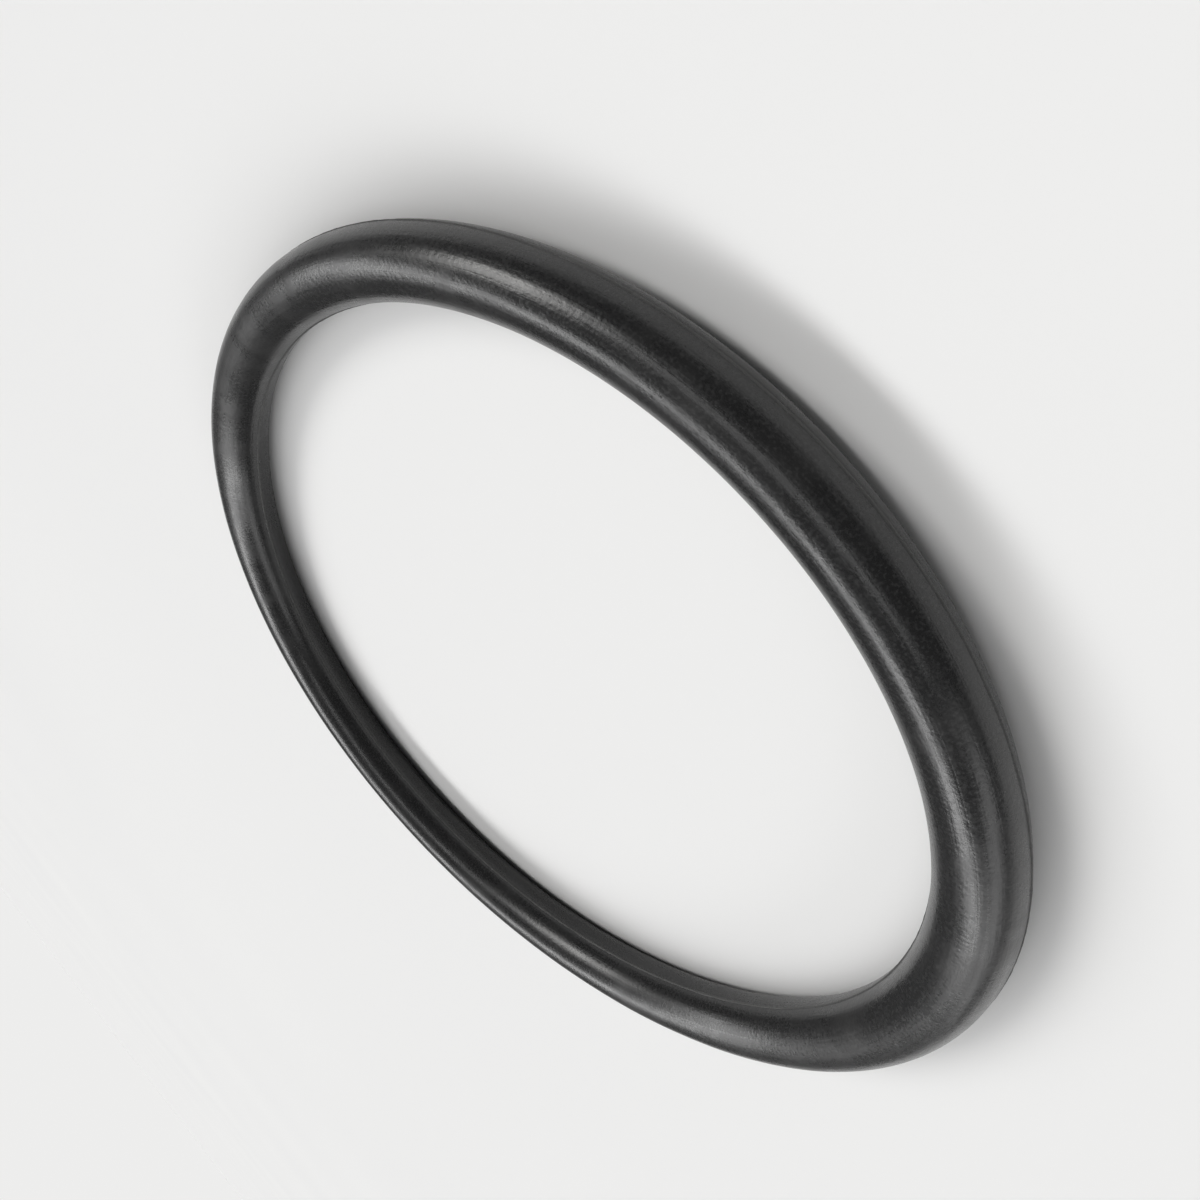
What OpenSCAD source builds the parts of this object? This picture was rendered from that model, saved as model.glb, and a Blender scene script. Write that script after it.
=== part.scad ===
// O-ring: one moulded ring of black rubber with a round section.
//
// The ring lies flat. Its axis is +Z, and the origin is at the centre of the
// ring, half way through its thickness. All sizes are in millimetres and are
// those of the relaxed ring, before it is stretched into a groove.
//
// A two-part mould meets half way up the ring, so a trimmed parting line runs
// round the inside and round the outside, on the plane through the origin.

/* [Ring] */
// Inside diameter of the round section, without the parting line
inner_d = 46.2; // [20:0.1:120]
// Diameter of the round section, also called the cord thickness
section_d = 3.55; // [1.8:0.05:7]

/* [Parting line] */
// Height of the trimmed parting line above the round section
parting_h = 0.05; // [0.02:0.01:0.10]
// Width of the parting line at its foot
parting_w = 0.14; // [0.12:0.01:0.24]

/* [Finish] */
// Colour of the rubber
rubber_colour = "#1c1c1e"; // ["#1c1c1e":Black, "#4a2417":Brown, "#1f4a33":Green, "#8f2a1c":Red]

/* [Hidden] */

// Radius of the round section
section_r = section_d / 2;
// Radius of the circle that the middle of the section follows
pitch_r = inner_d / 2 + section_r;
// The parting line is an arc on the section: its radius from height and width
parting_r = (parting_h * parting_h + parting_w * parting_w / 4) / (2 * parting_h);
// Distance from the middle of the section to the middle of that arc
parting_x = section_r + parting_h - parting_r;

// The cut face of the ring: a full circle with one small ridge towards the
// ring's axis and one away from it
module section() {
    circle(r = section_r, $fn = 120);
    for (side = [-1, 1])
        translate([side * parting_x, 0]) circle(r = parting_r, $fn = 24);
}

// The whole ring, moulded in one piece
module o_ring() {
    color(rubber_colour)
        rotate_extrude($fn = 240)
            translate([pitch_r, 0]) section();
}

o_ring();
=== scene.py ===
"""A black rubber O-ring lying flat on a pale floor.

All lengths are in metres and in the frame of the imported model: the ring's axis
is +Z and its centre is the origin.
"""
import math

import bpy
import numpy as np
from mathutils import Matrix, Vector


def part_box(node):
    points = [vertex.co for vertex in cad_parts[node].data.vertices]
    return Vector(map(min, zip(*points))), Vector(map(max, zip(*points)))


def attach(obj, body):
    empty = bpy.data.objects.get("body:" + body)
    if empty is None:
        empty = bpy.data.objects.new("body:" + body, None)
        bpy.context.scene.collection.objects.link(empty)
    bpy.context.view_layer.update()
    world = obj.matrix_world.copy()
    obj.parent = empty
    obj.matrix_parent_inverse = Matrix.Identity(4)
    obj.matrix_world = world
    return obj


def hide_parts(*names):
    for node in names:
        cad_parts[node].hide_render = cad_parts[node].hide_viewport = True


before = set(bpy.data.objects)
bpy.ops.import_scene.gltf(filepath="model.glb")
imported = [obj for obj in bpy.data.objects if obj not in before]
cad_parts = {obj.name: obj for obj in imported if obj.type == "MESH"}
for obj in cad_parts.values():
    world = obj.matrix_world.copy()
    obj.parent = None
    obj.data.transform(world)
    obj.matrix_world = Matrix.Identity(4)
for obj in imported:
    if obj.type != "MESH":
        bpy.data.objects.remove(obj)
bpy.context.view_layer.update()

MM = 0.001
scene = bpy.context.scene

# ---------------------------------------------------------------- sizes, mm
PITCH_R = 24.875          # circle that the middle of the section follows
box_lo, box_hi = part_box("o_ring")
SECTION_R = box_hi.z / MM - 0.005   # the surface's own waves take the last 5 microns
N_ROUND = 900             # steps round the ring
FLOOR_Z = box_lo.z + 0.005 * MM

# ---------------------------------------------------------------- the ring


def waves(rng, phi, theta, orders_phi, orders_theta, count):
    """A smooth field over the ring that closes on itself both ways, about -1 to 1."""
    total = np.zeros(np.broadcast(phi, theta).shape)
    for _ in range(count):
        m = rng.integers(*orders_phi)
        n = rng.integers(*orders_theta)
        total = total + np.cos(m * phi + n * theta + rng.uniform(0, 2 * math.pi))
    return total / math.sqrt(count)


def section_angles():
    """Angles round the section, close together at the parting line on both sides."""
    near = [0.0, 0.018, 0.036, 0.052, 0.066, 0.080, 0.098, 0.125, 0.165, 0.225, 0.31]
    near = [s / SECTION_R for s in near]            # arc length in mm to angle
    rest = list(np.linspace(near[-1], math.pi - near[-1], 30)[1:-1])
    half = near + rest + [math.pi - a for a in reversed(near)]
    return np.array(half + [-a for a in reversed(half[1:-1])])


def ring_mesh(name):
    rng = np.random.default_rng(7)
    theta = section_angles()[None, :]
    phi = (np.arange(N_ROUND) * 2 * math.pi / N_ROUND)[:, None]
    one = np.ones((N_ROUND, theta.shape[1]))

    # slow waves in the moulded surface, a few microns high
    off = 0.0022 * waves(rng, phi, theta, (3, 26), (0, 4), 10)
    off = np.clip(off, -0.0045, 0.0045)

    # the trimmed parting line, on the outside (theta 0) and the inside (theta pi):
    # a low ridge whose height, width and line wander a little round the ring
    for side, centre in ((0, 0.0), (1, math.pi)):
        d = (theta - centre + math.pi) % (2 * math.pi) - math.pi
        s = d * SECTION_R                                        # mm from the mould plane
        wander = 0.007 * waves(rng, phi, 0 * theta, (4, 40), (0, 1), 8)
        height = 0.038 + 0.005 * waves(rng, phi, 0 * theta, (5, 90), (0, 1), 10) \
            + 0.004 * waves(rng, phi, 0 * theta, (120, 260), (0, 1), 8)
        height = np.clip(height, 0.020, 0.049)
        width = np.clip(0.062 + 0.007 * waves(rng, phi, 0 * theta, (5, 120), (0, 1), 8), 0.046, 0.078)
        t = np.abs(s - wander) / width
        ridge = np.clip(1.35 * (1 - t * t), 0, 1)
        ridge = ridge * ridge * (3 - 2 * ridge)
        off = off + height * ridge * one
        # the rubber is drawn in by a few microns where each mould half ends
        off = off - 0.004 * np.exp(-((np.abs(s - wander) - 0.125) / 0.035) ** 2) * one

    r = SECTION_R + off
    x = PITCH_R + r * np.cos(theta)
    z = r * np.sin(theta) * one
    px, py = x * np.cos(phi), x * np.sin(phi)
    # the two mould halves are a hundredth of a millimetre out of line
    low = 1 / (1 + np.exp(z / 0.012))
    px, py = px - 0.009 * low, py + 0.007 * low

    verts = np.stack([px, py, z], -1).reshape(-1, 3) * MM
    n = theta.shape[1]
    i, j = np.meshgrid(np.arange(N_ROUND), np.arange(n), indexing="ij")
    a = i * n + j
    b = ((i + 1) % N_ROUND) * n + j
    c = ((i + 1) % N_ROUND) * n + (j + 1) % n
    e = i * n + (j + 1) % n
    faces = np.stack([a, b, c, e], -1).reshape(-1, 4)
    mesh = bpy.data.meshes.new(name)
    mesh.from_pydata(verts.tolist(), [], faces.tolist())

    # a map for textures: four quarters of the ring, one above the other, each
    # cut along the underside where the ring touches the floor
    flat = theta[0] % (2 * math.pi)
    cut = int(np.argmin(np.abs(flat - 1.5 * math.pi)))
    order = (np.arange(n) - cut) % n
    along = ((flat - flat[cut]) % (2 * math.pi)) / (2 * math.pi)
    v_lo = along
    v_hi = np.where(order == n - 1, 1.0, np.roll(along, -1))
    quarter, step = np.divmod(np.arange(N_ROUND), N_ROUND // 4)
    u_lo = 0.004 + 0.992 * step / (N_ROUND // 4)
    u_hi = 0.004 + 0.992 * (step + 1) / (N_ROUND // 4)
    base = quarter[:, None] / 4 + 0.003
    v_lo, v_hi = base + 0.244 * v_lo[None, :], base + 0.244 * v_hi[None, :]
    u_lo, u_hi = u_lo[:, None] + 0 * v_lo, u_hi[:, None] + 0 * v_lo
    uv = np.stack([u_lo, v_lo, u_hi, v_lo, u_hi, v_hi, u_lo, v_hi], -1).astype(np.float32)
    mesh.uv_layers.new(name="OFBake").uv.foreach_set("vector", uv.ravel())

    mesh.update()
    mesh.shade_smooth()
    obj = bpy.data.objects.new(name, mesh)
    scene.collection.objects.link(obj)
    return obj


# ---------------------------------------------------------------- materials


class Net:
    """Short names for making shader nodes."""

    def __init__(self, name):
        self.mat = bpy.data.materials.new(name)
        self.mat.use_nodes = True
        self.tree = self.mat.node_tree
        self.tree.nodes.clear()
        self.out = self.add("ShaderNodeOutputMaterial")
        self.bsdf = self.add("ShaderNodeBsdfPrincipled")
        self.join(self.bsdf.outputs["BSDF"], self.out.inputs["Surface"])

    def add(self, kind, **props):
        node = self.tree.nodes.new(kind)
        for k, v in props.items():
            setattr(node, k, v)
        return node

    def join(self, a, b):
        self.tree.links.new(a, b)

    def put(self, socket, value):
        if isinstance(value, bpy.types.NodeSocket):
            self.join(value, socket)
        else:
            socket.default_value = value

    def math(self, op, *values, clamp=False):
        node = self.add("ShaderNodeMath", operation=op, use_clamp=clamp)
        for k, v in enumerate(values):
            self.put(node.inputs[k], v)
        return node.outputs[0]

    def xyz(self, x, y, z):
        node = self.add("ShaderNodeCombineXYZ")
        for k, v in enumerate((x, y, z)):
            self.put(node.inputs[k], v)
        return node.outputs[0]

    def noise(self, vector, scale, detail=2.0, rough=0.5, warp=0.0):
        node = self.add("ShaderNodeTexNoise", noise_dimensions="3D")
        self.put(node.inputs["Vector"], vector)
        node.inputs["Scale"].default_value = scale
        node.inputs["Detail"].default_value = detail
        node.inputs["Roughness"].default_value = rough
        node.inputs["Distortion"].default_value = warp
        return node.outputs["Fac"]

    def band(self, value, lo, hi, to_lo=0.0, to_hi=1.0, smooth=True):
        node = self.add("ShaderNodeMapRange", clamp=True,
                        interpolation_type="SMOOTHSTEP" if smooth else "LINEAR")
        self.put(node.inputs["Value"], value)
        for k, v in zip(("From Min", "From Max", "To Min", "To Max"), (lo, hi, to_lo, to_hi)):
            node.inputs[k].default_value = v
        return node.outputs["Result"]

    def mix(self, fac, a, b):
        node = self.add("ShaderNodeMix", data_type="RGBA")
        self.put(node.inputs["Factor"], fac)
        for key, v in ((6, a), (7, b)):
            if isinstance(v, bpy.types.NodeSocket):
                self.join(v, node.inputs[key])
            else:
                node.inputs[key].default_value = (*v, 1.0)
        return node.outputs[2]

    def bump(self, height, distance, strength=1.0, normal=None):
        node = self.add("ShaderNodeBump")
        node.inputs["Strength"].default_value = strength
        node.inputs["Distance"].default_value = distance
        self.put(node.inputs["Height"], height)
        if normal is not None:
            self.join(normal, node.inputs["Normal"])
        return node.outputs["Normal"]


def rubber():
    m = Net("nitrile_rubber")
    coord = m.add("ShaderNodeTexCoord").outputs["Object"]
    sep = m.add("ShaderNodeSeparateXYZ")
    m.join(coord, sep.inputs[0])
    x, y, z = sep.outputs
    rho = m.math("SQRT", m.math("ADD", m.math("MULTIPLY", x, x), m.math("MULTIPLY", y, y)))
    across = m.math("SUBTRACT", rho, PITCH_R * MM)
    angle = m.math("ARCTAN2", z, across)                      # round the section, -pi to pi
    away = m.math("ABSOLUTE", z)                              # height off the mould plane, m

    # fine lines left by the turned mould: long along the ring, narrow across it
    ux, uy = m.math("MULTIPLY", x, 70.0), m.math("MULTIPLY", y, 70.0)
    lines = m.noise(m.xyz(ux, uy, m.math("MULTIPLY", angle, 11.0)), 1.0, 3.0, 0.65)
    # grain of the moulded skin, the finer matt speckle on it, flow marks, and
    # slow cloudy changes
    grain = m.noise(coord, 5200.0, 2.0, 0.55)
    speck = m.noise(coord, 7600.0, 1.0, 0.5)
    slow = m.noise(coord, 420.0, 1.5, 0.5, 0.4)
    cloud = m.noise(coord, 120.0, 3.0, 0.6, 0.6)

    # the parting line is torn rubber: matt and a little paler
    wobble = m.math("MULTIPLY", m.math("SUBTRACT", slow, 0.5), 0.00006)
    seam = m.band(m.math("ADD", away, wobble), 0.000050, 0.000095, 1.0, 0.0)

    # pale bloom, thin and patchy
    bloom = m.math("MULTIPLY", m.band(cloud, 0.42, 0.70), m.band(slow, 0.35, 0.70))

    colour = m.mix(cloud, (0.0062, 0.0062, 0.0066), (0.0110, 0.0110, 0.0113))
    colour = m.mix(m.band(speck, 0.45, 0.78), colour, (0.025, 0.025, 0.0252))
    colour = m.mix(m.math("MULTIPLY", bloom, 0.40), colour, (0.030, 0.0295, 0.029))
    colour = m.mix(m.math("MULTIPLY", seam, 0.65), colour, (0.072, 0.072, 0.070))
    m.join(colour, m.bsdf.inputs["Base Color"])

    rough = m.math("ADD", 0.28, m.math("MULTIPLY", m.math("SUBTRACT", lines, 0.5), 0.14))
    rough = m.math("ADD", rough, m.math("MULTIPLY", m.math("SUBTRACT", slow, 0.5), 0.10))
    rough = m.math("ADD", rough, m.math("MULTIPLY", m.math("SUBTRACT", speck, 0.5), 0.12))
    rough = m.math("ADD", rough, m.math("MULTIPLY", bloom, 0.07))
    rough = m.math("ADD", rough, m.math("MULTIPLY", seam, 0.28), clamp=True)
    m.join(rough, m.bsdf.inputs["Roughness"])
    m.bsdf.inputs["IOR"].default_value = 1.52
    m.bsdf.inputs["Specular IOR Level"].default_value = 0.5
    m.bsdf.inputs["Sheen Weight"].default_value = 0.02
    m.bsdf.inputs["Sheen Roughness"].default_value = 0.6

    # heights in metres: each bump's own distance times its 0 to 1 texture
    n = m.bump(slow, 0.000026)
    n = m.bump(lines, 0.000009, normal=n)
    n = m.bump(grain, 0.000010, normal=n)
    torn = m.math("MULTIPLY", seam, grain)
    n = m.bump(torn, 0.000030, normal=n)
    m.join(n, m.bsdf.inputs["Normal"])
    return m.mat


def pale_floor():
    m = Net("pale_floor")
    coord = m.add("ShaderNodeTexCoord").outputs["Object"]
    soft = m.noise(coord, 9.0, 0.0, 0.5)
    m.join(m.mix(soft, (0.80, 0.80, 0.80), (0.83, 0.83, 0.825)), m.bsdf.inputs["Base Color"])
    m.bsdf.inputs["Roughness"].default_value = 0.9
    m.bsdf.inputs["Specular IOR Level"].default_value = 0.0
    return m.mat


# ---------------------------------------------------------------- build

ring = ring_mesh("moulded_ring")
ring.data.materials.append(rubber())
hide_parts("o_ring")
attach(ring, "root")


def floor_mesh():
    """A wide pale sheet of matt paper, flat all over."""
    radii = [0.05, 0.2, 0.5, 1.2, 3.0, 7.0, 15.0]
    n = 96
    verts = [(0.0, 0.0, FLOOR_Z)]
    for rr in radii:
        verts += [(rr * math.cos(2 * math.pi * k / n), rr * math.sin(2 * math.pi * k / n), FLOOR_Z)
                  for k in range(n)]
    faces = [(0, 1 + k, 1 + (k + 1) % n) for k in range(n)]
    for ring_no in range(len(radii) - 1):
        a, b = 1 + ring_no * n, 1 + (ring_no + 1) * n
        faces += [(a + k, b + k, b + (k + 1) % n, a + (k + 1) % n) for k in range(n)]
    mesh = bpy.data.meshes.new("floor")
    mesh.from_pydata(verts, [], faces)
    mesh.shade_smooth()
    obj = bpy.data.objects.new("floor", mesh)
    scene.collection.objects.link(obj)
    return obj


floor = floor_mesh()
floor.data.materials.append(pale_floor())

# ---------------------------------------------------------------- camera
# The drawing shows the ring from 29 degrees above its plane and from close by,
# with its near side at the upper right. Distances are in pitch radii.
DISTANCE, ELEVATION = 2.0323, math.radians(28.932)
YAW, PITCH, ROLL = math.radians(7.312), math.radians(-8.799), math.radians(-132.143)
FOCAL_PX = 855.8          # in a picture 1200 pixels wide
AXIS_PX = (540.0, 520.0)  # where the lens points, in that picture

eye = Vector((0.0, -math.cos(ELEVATION), math.sin(ELEVATION))) * DISTANCE * PITCH_R * MM
ahead = -eye.normalized()
right = Vector((1.0, 0.0, 0.0))
up = right.cross(ahead)
ahead = (ahead + math.tan(YAW) * right + math.tan(PITCH) * up).normalized()
right = ahead.cross(up).normalized()
up = right.cross(ahead)
c, s = math.cos(ROLL), math.sin(ROLL)
image_right = c * right + s * up
image_up = -s * right + c * up

cam_data = bpy.data.cameras.new("camera")
cam_data.type = "PERSP"
cam_data.sensor_fit = "AUTO"
cam_data.sensor_width = 36.0
cam_data.lens = FOCAL_PX * 36.0 / 1200.0
cam_data.shift_x = (600.0 - AXIS_PX[0]) / 1200.0
cam_data.shift_y = (AXIS_PX[1] - 600.0) / 1200.0
cam_data.clip_start = 0.002
cam_data.clip_end = 20.0
cam = bpy.data.objects.new("camera", cam_data)
cam.matrix_world = Matrix((
    (image_right.x, image_up.x, -ahead.x, eye.x),
    (image_right.y, image_up.y, -ahead.y, eye.y),
    (image_right.z, image_up.z, -ahead.z, eye.z),
    (0.0, 0.0, 0.0, 1.0)))
scene.collection.objects.link(cam)
scene.camera = cam

# ---------------------------------------------------------------- light
# the key light: a round soft box, where it is, its half width and soft edge in
# degrees, its level and its colour
KEY = ((0.80, -0.10, 0.78), 11.0, 4.0, 8.6, (1.0, 0.99, 0.972))
ROOM = 0.12               # light from the room all round
BACK = (0.8495, 0.8478, 0.842)  # tone of the plain backdrop beyond the floor
# each panel: where it is, the way its width runs, half width and its soft edge,
# half height and its soft edge, level
PANELS = [
    ((0.05, 0.66, 0.75), (1, 0, 0), 1.10, 0.35, 0.09, 0.05, 8.0),
    ((-0.95, 0.10, 0.45), (0, 1, 0), 0.50, 0.15, 0.14, 0.07, 2.2),
    ((0.10, -0.30, 0.95), (1, 0, 0), 0.80, 0.25, 0.055, 0.04, 4.05),
]


def studio():
    """Soft light from the room above, with large soft panels and the key light far away."""
    world = bpy.data.worlds.new("studio")
    scene.world = world
    world.use_nodes = True
    tree = world.node_tree
    back = tree.nodes["Background"]
    way = tree.nodes.new("ShaderNodeTexCoord").outputs["Generated"]

    def math_node(op, *values):
        node = tree.nodes.new("ShaderNodeMath")
        node.operation = op
        for k, v in enumerate(values):
            if isinstance(v, bpy.types.NodeSocket):
                tree.links.new(v, node.inputs[k])
            else:
                node.inputs[k].default_value = v
        return node.outputs[0]

    def dot(v):
        node = tree.nodes.new("ShaderNodeVectorMath")
        node.operation = "DOT_PRODUCT"
        tree.links.new(way, node.inputs[0])
        node.inputs[1].default_value = v
        return node.outputs["Value"]

    def soft(value, lo, hi, to_lo, to_hi):
        node = tree.nodes.new("ShaderNodeMapRange")
        node.interpolation_type = "SMOOTHSTEP"
        tree.links.new(value, node.inputs["Value"])
        for k, v in zip(("From Min", "From Max", "To Min", "To Max"), (lo, hi, to_lo, to_hi)):
            node.inputs[k].default_value = v
        return node.outputs["Result"]

    def panel(direction, side, width, edge_w, height, edge_h, level):
        n = Vector(direction).normalized()
        u = (Vector(side) - Vector(side).dot(n) * n).normalized()
        v = n.cross(u)
        front = dot(n)
        safe = math_node("MAXIMUM", front, 0.05)
        across = math_node("ABSOLUTE", math_node("DIVIDE", dot(u), safe))
        along = math_node("ABSOLUTE", math_node("DIVIDE", dot(v), safe))
        mask = math_node("MULTIPLY", soft(across, width - edge_w, width + edge_w, 1, 0),
                         soft(along, height - edge_h, height + edge_h, 1, 0))
        mask = math_node("MULTIPLY", mask, soft(front, 0.05, 0.15, 0, 1))
        return math_node("MULTIPLY", mask, level)

    # the room's light comes from above the floor only
    total = soft(dot((0.0, 0.0, 1.0)), -0.03, 0.0, 0.0, ROOM)
    for each in PANELS:
        total = math_node("ADD", total, panel(*each))
    towards, half, edge, level, colour = KEY
    key = soft(dot(Vector(towards).normalized()), math.cos(math.radians(half + edge)),
               math.cos(math.radians(half - edge)), 0.0, 1.0)
    total = math_node("ADD", total, math_node("MULTIPLY", key, level))
    tree.links.new(total, back.inputs["Strength"])
    tint = tree.nodes.new("ShaderNodeMix")
    tint.data_type = "RGBA"
    tree.links.new(key, tint.inputs["Factor"])
    tint.inputs[6].default_value = (1.0, 1.0, 1.0, 1.0)
    tint.inputs[7].default_value = (*colour, 1.0)
    tree.links.new(tint.outputs[2], back.inputs["Color"])
    # seen directly, beyond the floor, there is only a plain backdrop
    plain = tree.nodes.new("ShaderNodeBackground")
    plain.inputs["Color"].default_value = (*BACK, 1.0)
    pick = tree.nodes.new("ShaderNodeMixShader")
    tree.links.new(tree.nodes.new("ShaderNodeLightPath").outputs["Is Camera Ray"], pick.inputs[0])
    tree.links.new(back.outputs[0], pick.inputs[1])
    tree.links.new(plain.outputs[0], pick.inputs[2])
    tree.links.new(pick.outputs[0], tree.nodes["World Output"].inputs["Surface"])


studio()

scene.view_settings.view_transform = "Standard"
scene.view_settings.look = "None"
scene.view_settings.exposure = 0.0
scene.view_settings.gamma = 1.0
